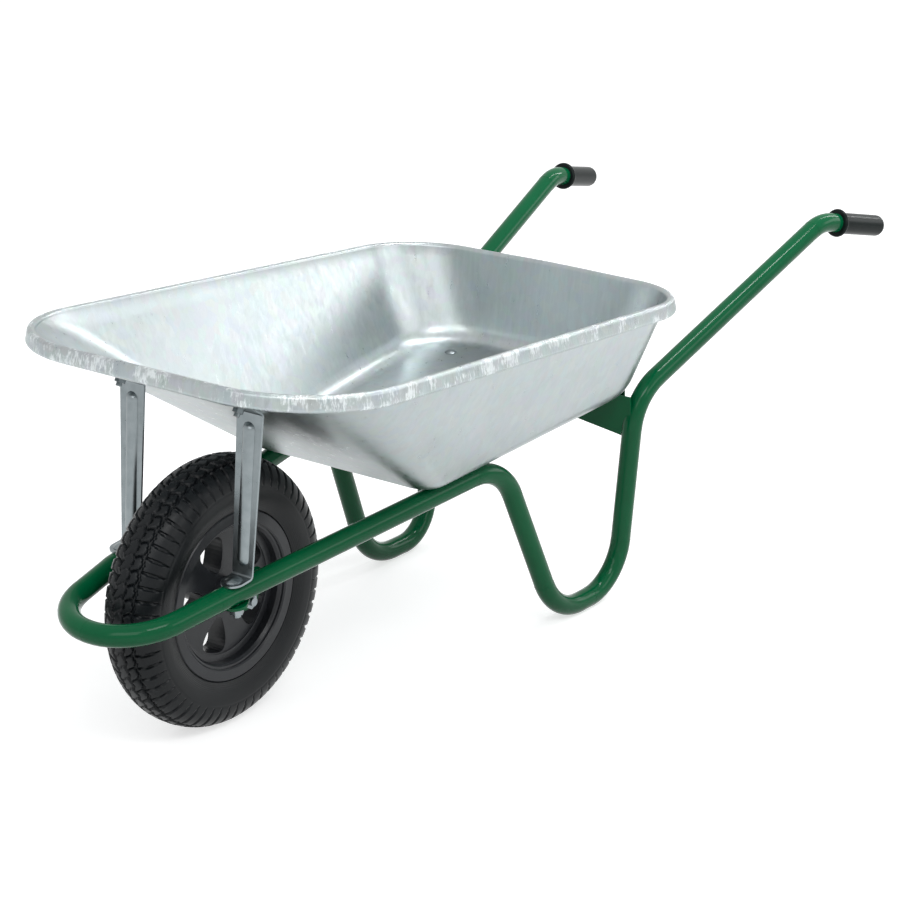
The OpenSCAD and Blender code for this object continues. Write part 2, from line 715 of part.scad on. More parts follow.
// A sleeve with a round collar at its mouth and a closed, rounded end
module grip() {
    r_in = tube_r + seat_gap;
    r_out = tube_r + grip_wall;
    end_r = r_out * 0.6;
    lip = grip_collar_t / 2;
    depth = grip_l - grip_end_t + seat_gap;
    color(black) along(grip_dir, grip_end - grip_dir * grip_l) rotate_extrude()
        polygon(concat([[r_in, 0]], arc([grip_collar_d / 2 - lip, lip], lip, -90, 90),
                       [[r_out, grip_collar_t]],
                       arc([r_out - end_r, grip_l - end_r], end_r, 0, 90),
                       [[0, grip_l], [0, depth], [r_in, depth]]));
}

// ---- fasteners of the frame and the pan ----------------------------------------------------
// Strut to rail: the head lies on the strut's foot, the nut under the bracket's flange
rail_washer_z = -tube_r - seat_gap - bracket_t - washer_t(rail_bolt_d);
module rail_bolts() {
    head_z = tube_r + seat_gap + strut_t;
    color(steel) both_sides() at_rail_bolt(head_z)
        coach_bolt(rail_bolt_d, head_z - rail_washer_z + nut_h(rail_bolt_d) + thread_end, strut_t);
}

module rail_washers() {
    color(steel) both_sides() at_rail_bolt(rail_washer_z) washer(rail_bolt_d);
}

module rail_nuts() {
    color(steel) both_sides() at_rail_bolt(rail_washer_z) mirror([0, 0, 1]) nut(rail_bolt_d);
}

// Strut to pan: the head lies inside the pan, the nut on the strut's tab
pan_stack = pan_t + seat_gap;
module strut_top_bolts() {
    under = strut_t + washer_t(pan_bolt_d) + nut_h(pan_bolt_d) + thread_end;
    color(steel) both_sides() at_strut_bolt() translate([0, 0, pan_stack])
        coach_bolt(pan_bolt_d, pan_stack + under, pan_t);
}

module strut_top_washers() {
    color(steel) both_sides() at_strut_bolt()
        translate([0, 0, -strut_t - washer_t(pan_bolt_d)]) washer(pan_bolt_d);
}

module strut_top_nuts() {
    color(steel) both_sides() at_strut_bolt()
        translate([0, 0, -strut_t - washer_t(pan_bolt_d)]) mirror([0, 0, 1]) nut(pan_bolt_d);
}

// Pan's floor to cross member
module floor_bolts() {
    under = cross_t + washer_t(pan_bolt_d) + nut_h(pan_bolt_d) + thread_end;
    color(steel) both_sides() at_floor_bolt() translate([0, 0, pan_t])
        coach_bolt(pan_bolt_d, pan_t + under, pan_t);
}

module floor_washers() {
    color(steel) both_sides() at_floor_bolt()
        translate([0, 0, -cross_t - washer_t(pan_bolt_d)]) washer(pan_bolt_d);
}

module floor_nuts() {
    color(steel) both_sides() at_floor_bolt()
        translate([0, 0, -cross_t - washer_t(pan_bolt_d)]) mirror([0, 0, 1]) nut(pan_bolt_d);
}

// ---- axle ----------------------------------------------------------------------------------
// Places children with their z along the axle, towards the operator's left
module at_axle(x) {
    translate([x, axle_y, tyre_d / 2]) rotate([0, 90, 0]) children();
}

module ring(r_out, r_in, l) {
    difference() {
        cylinder(h = l, r = r_out);
        translate([0, 0, -1]) cylinder(h = l + 2, r = r_in);
    }
}

// Outer face of a bracket, and of the washer on it
bracket_face = bracket_gap / 2 + bracket_t;
axle_washer_face = bracket_face + washer_t(axle_d);

module axle_bolt() {
    head = axle_d * 0.65;
    color(steel) {
        at_axle(-axle_washer_face)
            cylinder(h = 2 * axle_washer_face + nut_h(axle_d) + thread_end, d = axle_d);
        at_axle(-axle_washer_face - head)
            cylinder(h = head, d = hex_w(axle_d) / cos(30), $fn = 6);
    }
}

module axle_washers() {
    color(steel) {
        at_axle(bracket_face) washer(axle_d);
        at_axle(-axle_washer_face) washer(axle_d);
    }
}

module axle_nut() {
    color(steel) at_axle(axle_washer_face) nut(axle_d);
}

// Sleeve clamped between the brackets, on which the hub's bushes turn
module axle_sleeve() {
    color(steel) at_axle(-bracket_gap / 2)
        ring(sleeve_d / 2, axle_d / 2 + bolt_gap, bracket_gap);
}

// Rings on the sleeve that keep the hub between the brackets
hub_end = hub_l / 2 + bush_flange_t;
module hub_spacers() {
    spacer_l = bracket_gap / 2 - hub_end - side_gap;
    for (side = [0, 1]) mirror([side, 0, 0]) color(black) at_axle(hub_end + side_gap)
        ring(sleeve_d / 2 + bush_t, sleeve_d / 2 + seat_gap, spacer_l);
}

// ---- wheel ---------------------------------------------------------------------------------
// The valve stands behind the second spoke
valve_angle = window_turn + 540 / spoke_n;
bush_r = sleeve_d / 2 + run_gap + bush_t;
seat_r = rim_seat_d / 2;
flange_r = flange_d / 2;
well_r = seat_r - 9;
inner_r = well_r - barrel_t;
half_rim = wheel_w / 2;
flange_t = 4.8;

module hub_bushes() {
    for (side = [0, 1]) mirror([side, 0, 0]) color("white") at_axle(hub_l / 2 - bush_l)
        difference() {
            union() {
                cylinder(h = bush_l + bush_flange_t, r = bush_r);
                translate([0, 0, bush_l]) cylinder(h = bush_flange_t, r = bush_r + 4);
            }
            translate([0, 0, -1])
                cylinder(h = bush_l + bush_flange_t + 2, r = sleeve_d / 2 + run_gap);
        }
}

// Half of the barrel's section as [radius, distance from the middle], from its well to its
// flange and back along the inside
barrel_half = [[well_r, 0], [well_r, 10], [seat_r, 17], [seat_r, half_rim - flange_t],
               [flange_r - 2, half_rim - flange_t + 0.4], [flange_r, half_rim - flange_t + 1.6],
               [flange_r, half_rim - 1.5], [flange_r - 1.5, half_rim], [seat_r + 2, half_rim],
               [seat_r, half_rim - 2], [seat_r, half_rim - 4], [seat_r - 3, half_rim - 4.5],
               [seat_r - barrel_t, half_rim - 8], [seat_r - barrel_t, 18.5],
               [inner_r, 17], [inner_r, 0]];

function mirrored(half) =
    concat(half, [for (i = [len(half) - 1 : -1 : 0]) if (half[i].y > 0) [half[i].x, -half[i].y]]);

// Half of a spoke's width at a radius, and one window between two spokes, grown by g
function spoke_half(r) = spoke_root + spoke_flare * r;
function window_points(g) =
    let (r_low = hub_d / 2 + 10, r_high = inner_r - 2.5, mid = (r_low + r_high) / 2,
         reach = (r_high - r_low) / 2 + g,
         half = [for (a = [-90 : 12 : 90])
                 let (r = mid + reach * sin(a),
                      w = r * sin(180 / spoke_n - asin(min(1, spoke_half(r) / r))))
                 [r, (w + g) * pow(cos(a), 0.6)]])
    concat(half, [for (i = [len(half) - 2 : -1 : 1]) [half[i].x, -half[i].y]]);

module windows(g) {
    for (i = [0 : spoke_n - 1]) rotate(window_turn + 360 * i / spoke_n) polygon(window_points(g));
}

// One-piece moulding: barrel, hub and spokes whose edges are ribs round open windows
module wheel() {
    color(black) at_axle(0) difference() {
        union() {
            rotate_extrude() polygon(mirrored(barrel_half));
            translate([0, 0, -hub_l / 2]) cylinder(h = hub_l, r = hub_d / 2);
            translate([0, 0, spoke_depth / 2 - spoke_t])
                cylinder(h = spoke_t, r = inner_r + barrel_t / 3);
            translate([0, 0, -spoke_depth / 2]) linear_extrude(spoke_depth) windows(spoke_t);
        }
        translate([0, 0, -spoke_depth]) linear_extrude(2 * spoke_depth) windows(0);
        translate([0, 0, -hub_l]) cylinder(h = 2 * hub_l, r = bush_r + seat_gap);
        rotate(valve_angle) rotate([0, 90, 0]) cylinder(h = seat_r, r = valve_d / 2 + bolt_gap);
    }
}

// Points of the tyre's round section: half width w, height h above the widest radius
widest_r = tyre_d / 2 - tyre_crown_h;
function crown(w, h, power) =
    [for (i = [-12 : 12]) let (a = 90 * i / 12)
     [widest_r + h * pow(cos(a), 2 / power), w * sign(a) * pow(abs(sin(a)), 2 / power)]];

module tyre() {
    w = tyre_w / 2;
    bead_x = half_rim - flange_t - seat_gap;
    base = seat_r + seat_gap;
    over = flange_r + 3 * seat_gap;
    toe = bead_x - 2 * tyre_side_t;
    // outside, from the bead's toe over the flange to the widest point
    outer_low = [[base, toe], [base, bead_x], [over, bead_x + 0.2], [over + 0.6, bead_x + 4],
                 [lerp(over, widest_r, 0.3), w - 3.2], [lerp(over, widest_r, 0.65), w - 0.8]];
    inner_low = [[lerp(base, widest_r, 0.55), w - 1.7 * tyre_side_t],
                 [lerp(base, widest_r, 0.25), toe]];
    color(black) at_axle(0) rotate_extrude() polygon(concat(
        [for (i = [0 : 5]) [outer_low[i].x, -outer_low[i].y]],
        crown(w, tyre_crown_h, 2.35),
        [for (i = [5 : -1 : 0]) outer_low[i]],
        [for (i = [1 : -1 : 0]) inner_low[i]],
        [for (p = crown(w - tyre_side_t, tyre_crown_h - tyre_crown_t, 2.2)) [p.x, -p.y]],
        [for (i = [0 : 1]) [inner_low[i].x, -inner_low[i].y]]));
}

// The inner tube's section, grown inwards by g
tube_base_r = seat_r + 2;
function tube_points(g) =
    let (w = tyre_w / 2 - tyre_side_t - 2 - g,
         up = tyre_crown_h - tyre_crown_t - 2 - g, down = widest_r - tube_base_r - g)
    [for (i = [0 : 39]) let (a = 9 * i, power = cos(a) >= 0 ? 2.2 : 1.7)
     [widest_r + (cos(a) >= 0 ? up : down) * sign(cos(a)) * pow(abs(cos(a)), 2 / power),
      w * sign(sin(a)) * pow(abs(sin(a)), 2 / power)]];

module inner_tube() {
    color("dimgray") at_axle(0) rotate_extrude() difference() {
        polygon(tube_points(0));
        polygon(tube_points(2));
    }
}

// Places children with x along the valve, out from the axle
module at_valve() {
    at_axle(0) rotate(valve_angle) rotate([0, 90, 0]) children();
}

valve_low_r = inner_r - valve_l;
cap_l = valve_l * 0.4;
module valve_stem() {
    color(black) at_valve() {
        translate([0, 0, valve_low_r]) cylinder(h = tube_base_r - valve_low_r - seat_gap,
                                                d = valve_d);
        translate([0, 0, tube_base_r - 1.5 - seat_gap]) cylinder(h = 1.5, d = 2 * valve_d);
    }
}

module valve_cap() {
    color(black) at_valve() translate([0, 0, valve_low_r - 2]) difference() {
        cylinder(h = cap_l, d = valve_d + 3);
        translate([0, 0, 2 - seat_gap]) cylinder(h = cap_l, d = valve_d + 2 * seat_gap);
    }
}

frame_tube();
rear_cross_member();
axle_bracket();  // axle_bracket_left
mirror([1, 0, 0]) axle_bracket();  // axle_bracket_right
pan();
strut();  // strut_left
mirror([1, 0, 0]) strut();  // strut_right
grip();  // grip_left
mirror([1, 0, 0]) grip();  // grip_right
rail_bolts();
rail_washers();
rail_nuts();
strut_top_bolts();
strut_top_washers();
strut_top_nuts();
floor_bolts();
floor_washers();
floor_nuts();
axle_bolt();
axle_washers();
axle_nut();
axle_sleeve();
hub_spacers();
wheel();
hub_bushes();
tyre();
inner_tube();
valve_stem();
valve_cap();
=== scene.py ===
import math
import bpy
import bmesh
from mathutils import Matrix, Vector


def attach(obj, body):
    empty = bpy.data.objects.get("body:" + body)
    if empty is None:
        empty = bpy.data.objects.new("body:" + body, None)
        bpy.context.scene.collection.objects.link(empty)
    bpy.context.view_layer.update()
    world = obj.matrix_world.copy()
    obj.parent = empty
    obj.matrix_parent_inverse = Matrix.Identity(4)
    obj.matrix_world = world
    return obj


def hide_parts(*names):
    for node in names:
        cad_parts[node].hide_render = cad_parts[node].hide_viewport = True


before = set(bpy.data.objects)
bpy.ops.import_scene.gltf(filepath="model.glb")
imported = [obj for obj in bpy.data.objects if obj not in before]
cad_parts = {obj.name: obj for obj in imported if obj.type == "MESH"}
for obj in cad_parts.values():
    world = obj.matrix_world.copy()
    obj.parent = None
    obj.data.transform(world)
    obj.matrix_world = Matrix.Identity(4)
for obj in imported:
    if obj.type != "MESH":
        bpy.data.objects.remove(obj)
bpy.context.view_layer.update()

# Camera. The barrow is seen from its operator's left and from ahead of the wheel, with a long
# lens about 1.5 m above the floor, an adult's eye height.
AZIMUTH, ELEVATION = math.radians(-52.6), math.radians(19.37)
DISTANCE = 3.8694
AIM = Vector((0.0, -0.0014, 0.2433))
LENS_MM, SENSOR_MM = 103.47, 36.0

camera_data = bpy.data.cameras.new("camera")
camera_data.lens = LENS_MM
camera_data.sensor_width = SENSOR_MM
camera_data.clip_end = 60.0
camera = bpy.data.objects.new("camera", camera_data)
bpy.context.scene.collection.objects.link(camera)
camera.location = AIM + DISTANCE * Vector((math.cos(ELEVATION) * math.cos(AZIMUTH),
                                           math.cos(ELEVATION) * math.sin(AZIMUTH),
                                           math.sin(ELEVATION)))
camera.rotation_euler = (AIM - camera.location).to_track_quat("-Z", "Y").to_euler()
bpy.context.scene.camera = camera
bpy.context.scene.view_settings.view_transform = "Standard"

# Floor. A seamless white studio sweep of matt painted board, wide enough to run out of sight;
# it takes the barrow's soft shadow.
SWEEP_HALF = 30.0
BOARD_PAINT, BOARD_GLOW = "#cacbcb", 0.65


def linear(hex_colour):
    """A six-digit sRGB hex value as linear red, green, blue and alpha."""
    out = []
    for i in (1, 3, 5):
        c = int(hex_colour[i:i + 2], 16) / 255
        out.append(c / 12.92 if c <= 0.04045 else ((c + 0.055) / 1.055) ** 2.4)
    return (*out, 1.0)


def add(tree, kind, links=None, **settings):
    """Adds a node; a setting in_NAME or in_NUMBER fills an input, any other one an attribute."""
    node = tree.nodes.new(kind)
    for key, value in settings.items():
        if key.startswith("in_"):
            name = key[3:].replace("_", " ")
            socket = node.inputs[int(name)] if name.isdigit() else node.inputs[name]
            socket.default_value = value
        else:
            setattr(node, key, value)
    for name, source in (links or {}).items():
        tree.links.new(source, node.inputs[name])
    return node


def material(name, **sockets):
    """A new material with its node tree, its principled shader and its object coordinates."""
    mat = bpy.data.materials.new(name)
    mat.use_nodes = True
    tree = mat.node_tree
    shader = tree.nodes["Principled BSDF"]
    for socket, value in sockets.items():
        shader.inputs[socket.replace("_", " ")].default_value = value
    place = add(tree, "ShaderNodeTexCoord").outputs["Object"]
    return mat, tree, shader, place


def seen_as_backdrop(tree):
    """1 for rays from the camera, off a glossy face or through glass, 0 for diffuse light."""
    path = add(tree, "ShaderNodeLightPath")
    gloss = add(tree, "ShaderNodeMath", {0: path.outputs["Is Camera Ray"],
                                         1: path.outputs["Is Glossy Ray"]}, operation="MAXIMUM")
    either = add(tree, "ShaderNodeMath", {0: gloss.outputs[0],
                                          1: path.outputs["Is Transmission Ray"]},
                 operation="MAXIMUM")
    return either.outputs[0]


floor_mesh = bpy.data.meshes.new("studio_floor")
floor_mesh.from_pydata([(-SWEEP_HALF, -SWEEP_HALF, 0), (SWEEP_HALF, -SWEEP_HALF, 0),
                        (SWEEP_HALF, SWEEP_HALF, 0), (-SWEEP_HALF, SWEEP_HALF, 0)], [],
                       [(0, 1, 2, 3)])
studio_floor = bpy.data.objects.new("studio_floor", floor_mesh)
bpy.context.scene.collection.objects.link(studio_floor)
board, tree, shader, place = material("white_sweep_board", Base_Color=linear(BOARD_PAINT),
                                      Roughness=0.9, Specular_IOR_Level=0.1)
white = add(tree, "ShaderNodeEmission", {1: seen_as_backdrop(tree)},
            in_Color=(BOARD_GLOW, BOARD_GLOW, BOARD_GLOW, 1))
both = add(tree, "ShaderNodeAddShader", {0: shader.outputs[0], 1: white.outputs[0]})
tree.links.new(both.outputs[0], tree.nodes["Material Output"].inputs["Surface"])
floor_mesh.materials.append(board)

# Studio air and lights. The air is white to the eye and in gloss and a dim grey dome otherwise;
# two strips, four softboxes and a broad ceiling light the barrow from behind, above and ahead.
DOME_LOW, DOME_HIGH, DOME_TURN = (0.10, 0.104, 0.106, 1), (0.2, 0.205, 0.21, 1), 0.7
CEILING_POWER, CEILING_SPREAD = 1.6, math.radians(100)

world = bpy.data.worlds.new("studio_air")
bpy.context.scene.world = world
world.use_nodes = True
tree = world.node_tree
tree.nodes.clear()
way = add(tree, "ShaderNodeTexCoord")
height = add(tree, "ShaderNodeSeparateXYZ", {0: way.outputs["Generated"]})
dome = add(tree, "ShaderNodeValToRGB", {0: height.outputs["Z"]})
for step, position, tone in ((0, 0.0, DOME_LOW), (1, DOME_TURN, DOME_HIGH)):
    dome.color_ramp.elements[step].position = position
    dome.color_ramp.elements[step].color = tone
hue = add(tree, "ShaderNodeMix", {0: seen_as_backdrop(tree), 6: dome.outputs[0]},
          data_type="RGBA", in_7=(1, 1, 1, 1))
air = add(tree, "ShaderNodeBackground", {0: hue.outputs[2]}, in_Strength=1.0)
add(tree, "ShaderNodeOutputWorld", {0: air.outputs[0]})

for name, spot, aim, size, watts in (
        ("rear_strip", (0.5, 2.9, 2.3), (0, 0, 0.3), (0.14, 2.2), 22),
        ("top_strip", (0.6, 0.7, 3.1), (0, 0.2, 0.3), (0.14, 2.2), 34),
        ("side_box", (2.1, 3.2, 1.5), (0, -0.1, 0.4), (1.9, 1.0), 16),
        ("corner_box", (2.65, 0.5, 1.45), (-0.2, 0, 0.45), (2.2, 0.8), 13),
        ("wheel_box", (1.75, -1.35, 2.3), (0, -0.4, 0.3), (1.2, 0.7), 18),
        ("front_box", (0.9, -3.1, 2.2), (0, 0.1, 0.3), (2.2, 1.4), 24)):
    panel = bpy.data.lights.new(name, "AREA")
    panel.shape = "RECTANGLE"
    panel.size, panel.size_y = size
    panel.energy = watts
    lamp = bpy.data.objects.new(name, panel)
    bpy.context.scene.collection.objects.link(lamp)
    lamp.location = spot
    lamp.rotation_euler = (Vector(aim) - Vector(spot)).to_track_quat("-Z", "Y").to_euler()

ceiling_light = bpy.data.lights.new("ceiling", "SUN")
ceiling_light.energy = CEILING_POWER
ceiling_light.angle = CEILING_SPREAD
ceiling = bpy.data.objects.new("ceiling", ceiling_light)
bpy.context.scene.collection.objects.link(ceiling)
ceiling.location = (0, 0, 4)
ceiling.visible_glossy = False

# Frame. One bent steel tube with a folded cross member and two axle brackets, welded, degreased
# and dipped in green stove enamel: a thick glossy coat with a faint orange peel and soft shifts
# of tone where it has run.
ENAMEL, ENAMEL_DEEP = "#006039", "#004628"
RUN_MM, PEEL_MM, PEEL_DEPTH = 140, 4.0, 0.0003
ENAMEL_GLOSS = (0.12, 0.2)


def dress(mat, *nodes):
    """Gives CAD nodes a material in place of their own."""
    for node in nodes:
        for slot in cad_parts[node].material_slots:
            slot.material = mat


enamel, tree, shader, place = material("green_stove_enamel", IOR=1.5, Specular_IOR_Level=0.08,
                                       Coat_Weight=0.15, Coat_Roughness=0.05)
runs = add(tree, "ShaderNodeTexNoise", {"Vector": place}, in_Scale=1000 / RUN_MM, in_Detail=3.0)
green = add(tree, "ShaderNodeMix", {0: runs.outputs["Fac"]}, data_type="RGBA",
            in_6=linear(ENAMEL), in_7=linear(ENAMEL_DEEP))
tree.links.new(green.outputs[2], shader.inputs["Base Color"])
peel = add(tree, "ShaderNodeTexNoise", {"Vector": place}, in_Scale=1000 / PEEL_MM, in_Detail=1.0)
skin = add(tree, "ShaderNodeBump", {"Height": peel.outputs["Fac"]}, in_Strength=0.12,
           in_Distance=PEEL_DEPTH)
tree.links.new(skin.outputs[0], shader.inputs["Normal"])
haze = add(tree, "ShaderNodeMapRange", {0: runs.outputs["Fac"]}, in_3=ENAMEL_GLOSS[0],
           in_4=ENAMEL_GLOSS[1])
tree.links.new(haze.outputs[0], shader.inputs["Roughness"])
dress(enamel, "frame_tube", "rear_cross_member", "axle_bracket_left", "axle_bracket_right")

# Pan. Mild steel sheet 1.5 mm thick, drawn in a press with its edge rolled over into a bead,
# then galvanised: satin grey with faint spangle, bright scrapes across the bead and draw lines
# down the walls, which are drawn coarser than life so that they show.
SHEET = 0.0015
RIM = dict(front=(-0.6506, 0.2942, 0.156), rear=(0.2513, 0.2726, 0.120), bow=0.006)
RIM_Z = (0.5387, 0.478)
FLOOR = dict(front=(-0.256, 0.166, 0.033), rear=(0.2325, 0.217, 0.105), bow=0.0)
FLOOR_BEND = 0.028
FLOOR_OVER_RAIL = 0.0151
BEAD_W, BEAD_H, BEAD_FLARE = 0.0122, 0.0234, 0.0024
BEND_STEPS, WALL_STEPS, ROLL_STEPS, CURL_STEPS = 10, 8, 12, 24
# The ends of a rail: how far ahead of the origin, and how high
RAIL_FRONT, RAIL_REAR = (0.6195, 0.230), (0.0935, 0.2837)
RAIL_RISE = (RAIL_REAR[1] - RAIL_FRONT[1]) / (RAIL_FRONT[0] - RAIL_REAR[0])
RAIL_Z0 = RAIL_FRONT[1] + RAIL_RISE * RAIL_FRONT[0]
LEAN = math.atan(RAIL_RISE)
SHARP_DEGREES = 38


def skin_of_rows(name, rows, caps=()):
    """A mesh through rows of points, each row a closed ring of as many; caps lists rows to fill."""
    n, mesh = len(rows[0]), bpy.data.meshes.new(name)
    faces = []
    for k in range(len(rows) - 1):
        for j in range(n):
            a, b = k * n + j, k * n + (j + 1) % n
            faces.append((a, b, b + n, a + n))
    for k in caps:
        ring = [k * n + j for j in range(n)]
        faces.append(ring[::-1] if k == 0 else ring)
    mesh.from_pydata([p for row in rows for p in row], [], faces)
    mesh.update()
    piece = bpy.data.objects.new(name, mesh)
    bpy.context.scene.collection.objects.link(piece)
    work = bmesh.new()
    work.from_mesh(mesh)
    bmesh.ops.remove_doubles(work, verts=work.verts, dist=1e-7)
    bmesh.ops.recalc_face_normals(work, faces=work.faces)
    work.to_mesh(mesh)
    work.free()
    mesh.polygons.foreach_set("use_smooth", [True] * len(mesh.polygons))
    mesh.set_sharp_from_angle(angle=math.radians(SHARP_DEGREES))
    return piece


def half_outline(front, rear, bow, arc_n=18, side_n=10, bow_n=14):
    """Half of a rounded outline from its front corner to the middle of its rear edge."""
    lean = math.atan((front[1] - rear[1]) / (rear[0] - front[0]))

    def side(y):
        return front[1] + (rear[1] - front[1]) * (y - front[0]) / (rear[0] - front[0])

    fy, ry = front[0] + front[2], rear[0] - rear[2]
    fc = Vector((side(fy) - front[2] / math.cos(lean), fy))
    rc = Vector((side(ry) - rear[2] / math.cos(lean), ry))
    points = []
    for i in range(arc_n + 1):
        a = -math.pi / 2 + (lean + math.pi / 2) * i / arc_n
        points.append(fc + front[2] * Vector((math.cos(a), math.sin(a))))
    start = rc + rear[2] * Vector((math.cos(lean), math.sin(lean)))
    last = points[-1]
    points += [last.lerp(start, i / side_n) for i in range(1, side_n)]
    for i in range(arc_n + 1):
        a = lean + (math.pi / 2 - lean) * i / arc_n
        points.append(rc + rear[2] * Vector((math.cos(a), math.sin(a))))
    for i in range(1, bow_n + 1):
        u = 1 - i / bow_n
        points.append(Vector((rc.x * u, rear[0] + bow * (1 - u * u) ** 2)))
    return points


def outline(front, rear, bow):
    """The whole outline, with its straight front edge cut in eighths."""
    half = half_outline(front, rear, bow)
    front_edge = [Vector((half[0].x * t / 4, half[0].y)) for t in range(-3, 4)]
    return half + [Vector((-p.x, p.y)) for p in half[-2::-1]] + front_edge


def grown(shape, u):
    """The outline of the rim or the floor, wider by u all round."""
    f, r = shape["front"], shape["rear"]
    return outline((f[0] - u, f[1] + u, f[2] + u), (r[0] + u, r[1] + u, r[2] + u), shape["bow"])


def rim_ring(u, v):
    """The rim's outline in its sloping plane, out by u and up by v."""
    rise = (RIM_Z[1] - RIM_Z[0]) / (RIM["rear"][0] - RIM["front"][0])
    return [Vector((p.x, p.y, RIM_Z[0] + rise * (p.y - RIM["front"][0]) + v))
            for p in grown(RIM, u)]


def floor_ring(u):
    """The floor's outline on the leaning rails, in by u."""
    lift = (FLOOR_OVER_RAIL + SHEET) / math.cos(LEAN)
    return [Vector((p.x, p.y, RAIL_Z0 + RAIL_RISE * p.y + lift)) for p in grown(FLOOR, -u)]


bead_r = BEAD_W / 2
wall_top, wall_foot = rim_ring(-bead_r, -bead_r), floor_ring(0)
floor_edge = floor_ring(FLOOR_BEND)
count = len(wall_top)


def bend_ring(t):
    """The bend from the floor to the wall, part t of the way."""
    ring = []
    for edge, foot, top in zip(floor_edge, wall_foot, wall_top):
        up = foot + (top - foot).normalized() * FLOOR_BEND
        ring.append(edge.lerp(foot, t).lerp(foot.lerp(up, t), t))
    return ring


rings = [bend_ring(i / BEND_STEPS) for i in range(BEND_STEPS + 1)]
foot_of_wall = rings[-1]
rings += [[a.lerp(b, i / WALL_STEPS) for a, b in zip(foot_of_wall, wall_top)]
          for i in range(1, WALL_STEPS)]
rings += [rim_ring(bead_r * math.cos(a), bead_r * (math.sin(a) - 1))
          for a in [math.pi - math.pi * i / ROLL_STEPS for i in range(ROLL_STEPS + 1)]]
rings += [rim_ring(BEAD_FLARE + bead_r * math.cos(a), bead_r * (1 + math.sin(a)) - BEAD_H)
          for a in [-math.pi * i / CURL_STEPS for i in range(CURL_STEPS)]]


def offset(k, j):
    """The sheet's lower face, one thickness away along its own normal."""
    if k == 0:
        normal = Vector((0, math.sin(LEAN), -math.cos(LEAN)))
    else:
        up = rings[min(k + 1, len(rings) - 1)][j] - rings[k - 1][j]
        normal = (rings[k][(j + 1) % count] - rings[k][j - 1]).cross(up).normalized()
    return rings[k][j] + normal * SHEET


under = [[offset(k, j) for j in range(count)] for k in range(len(rings))]
pan_skin = skin_of_rows("pan_sheet", rings + under[::-1], caps=(0, 2 * len(rings) - 1))
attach(pan_skin, "root")
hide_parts("pan")

SHEET_GREY, SHEET_PALE, SCRAPED_BRIGHT = "#a0a8aa", "#b1b8b9", "#d9dfe0"
SPANGLE_MM, FOG_MM, RUB_MM, DRAW_MM, DRAW_STRETCH = 14.0, 90, 9.0, 2.2, 0.06
RUBBED_TONE, SHEET_GLOSS, DRAW_DEPTH = (0.9, 1.03), (0.26, 0.42), 0.0002
galvanised, tree, shader, place = material("galvanised_pressed_steel", Metallic=1.0)
cells = add(tree, "ShaderNodeTexVoronoi", {"Vector": place}, in_Scale=1000 / SPANGLE_MM)
fog = add(tree, "ShaderNodeTexNoise", {"Vector": place}, in_Scale=1000 / FOG_MM, in_Detail=4.0)
lines_at = add(tree, "ShaderNodeMapping", {0: place}, in_Scale=(1, 1, DRAW_STRETCH))
lines = add(tree, "ShaderNodeTexNoise", {"Vector": lines_at.outputs[0]},
            in_Scale=1000 / DRAW_MM, in_Detail=2.0)
grey = add(tree, "ShaderNodeMix", {0: fog.outputs["Fac"]}, data_type="RGBA",
           in_6=linear(SHEET_GREY), in_7=linear(SHEET_PALE))
speck = add(tree, "ShaderNodeMix", {6: grey.outputs[2], 7: cells.outputs["Color"]},
            data_type="RGBA", blend_type="SOFT_LIGHT", in_0=0.06)
rub = add(tree, "ShaderNodeTexNoise", {"Vector": lines_at.outputs[0]}, in_Scale=1000 / RUB_MM,
          in_Detail=5.0, in_Roughness=0.7)
rubbed = add(tree, "ShaderNodeMapRange", {0: rub.outputs["Fac"]}, in_1=0.35, in_2=0.65,
             in_3=RUBBED_TONE[0], in_4=RUBBED_TONE[1])
worn_sheet = add(tree, "ShaderNodeMix", {6: speck.outputs[2], 7: rubbed.outputs[0]},
                 data_type="RGBA", blend_type="MULTIPLY", in_0=1.0)
dull = add(tree, "ShaderNodeMapRange", {0: rub.outputs["Fac"]}, in_1=0.3, in_2=0.7,
           in_3=SHEET_GLOSS[0], in_4=SHEET_GLOSS[1])
tree.links.new(dull.outputs[0], shader.inputs["Roughness"])
draw_lines = add(tree, "ShaderNodeBump", {"Height": lines.outputs["Fac"]}, in_Strength=0.25,
                 in_Distance=DRAW_DEPTH)

# The bead is told by its height under the rim's plane and by facing outwards
BEAD_BAND, BAND_EDGE = 0.0216, 0.003
INSIDE_PAN = (0, -0.2, 0.42)
SCRAPE_MM, SCRAPE_STRETCH, DRIP_MM, SCRAPE_DEPTH = 3.0, 0.12, 26.0, 0.0022
BARE_WEAR, BARE_SHARE = (0.26, 0.34), 0.8
rim_fall = (RIM_Z[0] - RIM_Z[1]) / (RIM["rear"][0] - RIM["front"][0])
rim_plane = RIM_Z[0] + rim_fall * RIM["front"][0]
along = add(tree, "ShaderNodeSeparateXYZ", {0: place})
drop = add(tree, "ShaderNodeMath", {0: along.outputs["Y"], 2: along.outputs["Z"]},
           operation="MULTIPLY_ADD", in_1=rim_fall)
band = add(tree, "ShaderNodeMapRange", {0: drop.outputs[0]},
           in_1=rim_plane - BEAD_BAND - BAND_EDGE, in_2=rim_plane - BEAD_BAND)
from_pan = add(tree, "ShaderNodeVectorMath", {0: place}, operation="SUBTRACT", in_1=INSIDE_PAN)
sheet_normal = add(tree, "ShaderNodeTexCoord").outputs["Normal"]
facing = add(tree, "ShaderNodeVectorMath", {0: from_pan.outputs[0], 1: sheet_normal},
             operation="DOT_PRODUCT")
outward = add(tree, "ShaderNodeMapRange", {0: facing.outputs["Value"]}, in_1=0.0, in_2=0.05)
out_band = add(tree, "ShaderNodeMath", {0: band.outputs[0], 1: outward.outputs[0]},
               operation="MULTIPLY")
